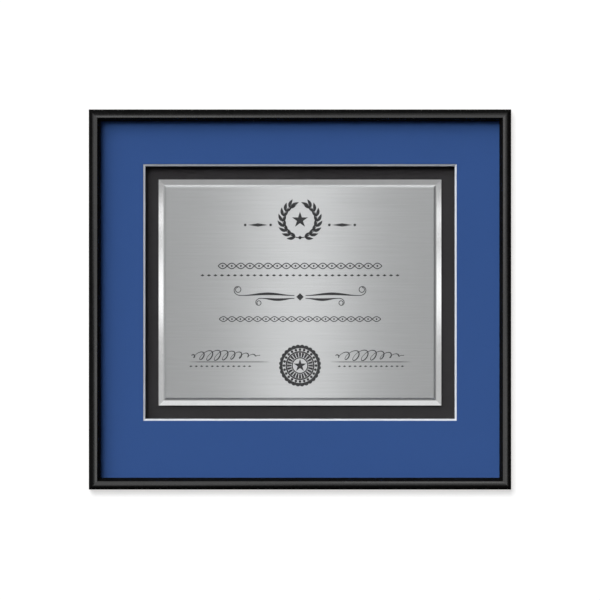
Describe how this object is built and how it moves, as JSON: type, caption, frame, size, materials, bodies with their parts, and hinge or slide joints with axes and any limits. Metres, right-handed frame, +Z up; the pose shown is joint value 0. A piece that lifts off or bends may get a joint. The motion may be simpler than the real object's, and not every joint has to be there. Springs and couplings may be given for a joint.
{
  "type": "certificate frame",
  "caption": "Wall-hung certificate frame: black mitred moulding, glazed blue bevelled mat, black board, polished and brushed silver plates, and a back held by turn buttons.",
  "frame": {"origin": "the hook point: the top of the middle notch of the sawtooth hanger, in mid thickness of its strip", "axes": "+Z up, +X to the viewer's right along the long side, +Y back through the frame to the wall, so the front faces -Y"},
  "size_m": [0.381, 0.0278, 0.3429],
  "materials": {
    "black_lacquered_wood": "satin",
    "bright_steel": "satin",
    "clear_glass": "polished",
    "blue_mat_paper": "matte",
    "white_mat_core": "matte",
    "foam_board": "matte",
    "black_mount_board": "matte",
    "foam_tape": "matte",
    "polished_silver": "polished",
    "bond_film": "gloss",
    "brushed_silver": "satin",
    "hardboard": "matte",
    "zinc_plated_steel": "satin",
    "engraving_fill": "matte",
    "rivet_alloy": "satin",
    "bumper_rubber": "matte"
  },
  "bodies": {
    "frame": {"rail_top": "black_lacquered_wood", "rail_bottom": "black_lacquered_wood", "rail_left": "black_lacquered_wood", "rail_right": "black_lacquered_wood", "corner_v_nails": "bright_steel", "glazing_sheet": "clear_glass", "window_mat_face": "blue_mat_paper", "window_mat_core": "white_mat_core", "mat_riser_top": "foam_board", "mat_riser_bottom": "foam_board", "mat_riser_left": "foam_board", "mat_riser_right": "foam_board", "mount_board": "black_mount_board", "plate_tape": "foam_tape", "border_plate": "polished_silver", "plate_bond_film": "bond_film", "engraved_plate": "brushed_silver", "filler_board": "foam_board", "back_board": "hardboard", "hanger_sawtooth": "zinc_plated_steel", "hanger_rivets": "rivet_alloy", "turn_button_screws": "zinc_plated_steel", "wall_bumpers": "bumper_rubber"},
    "turn_button_bottom_left": {"turn_button_bottom_left": "zinc_plated_steel"},
    "turn_button_bottom_right": {"turn_button_bottom_right": "zinc_plated_steel"},
    "turn_button_right": {"turn_button_right": "zinc_plated_steel"},
    "turn_button_top_right": {"turn_button_top_right": "zinc_plated_steel"},
    "turn_button_top_left": {"turn_button_top_left": "zinc_plated_steel"},
    "turn_button_left": {"turn_button_left": "zinc_plated_steel"}
  },
  "joints": [
    {"name": "bottom_left_turn", "type": "hinge", "parent": "frame", "child": "turn_button_bottom_left", "pos_m": [-0.0955, -0.0014, -0.3067], "axis": [0, 1, 0], "range_deg": [-90, 90]},
    {"name": "bottom_right_turn", "type": "hinge", "parent": "frame", "child": "turn_button_bottom_right", "pos_m": [0.0955, -0.0014, -0.3067], "axis": [0, 1, 0], "range_deg": [-90, 90]},
    {"name": "right_turn", "type": "hinge", "parent": "frame", "child": "turn_button_right", "pos_m": [0.1868, -0.0014, -0.13895], "axis": [0, 1, 0], "range_deg": [-90, 90]},
    {"name": "top_right_turn", "type": "hinge", "parent": "frame", "child": "turn_button_top_right", "pos_m": [0.0955, -0.0014, 0.0288], "axis": [0, 1, 0], "range_deg": [-90, 90]},
    {"name": "top_left_turn", "type": "hinge", "parent": "frame", "child": "turn_button_top_left", "pos_m": [-0.0955, -0.0014, 0.0288], "axis": [0, 1, 0], "range_deg": [-90, 90]},
    {"name": "left_turn", "type": "hinge", "parent": "frame", "child": "turn_button_left", "pos_m": [-0.1868, -0.0014, -0.13895], "axis": [0, 1, 0], "range_deg": [-90, 90]}
  ]
}
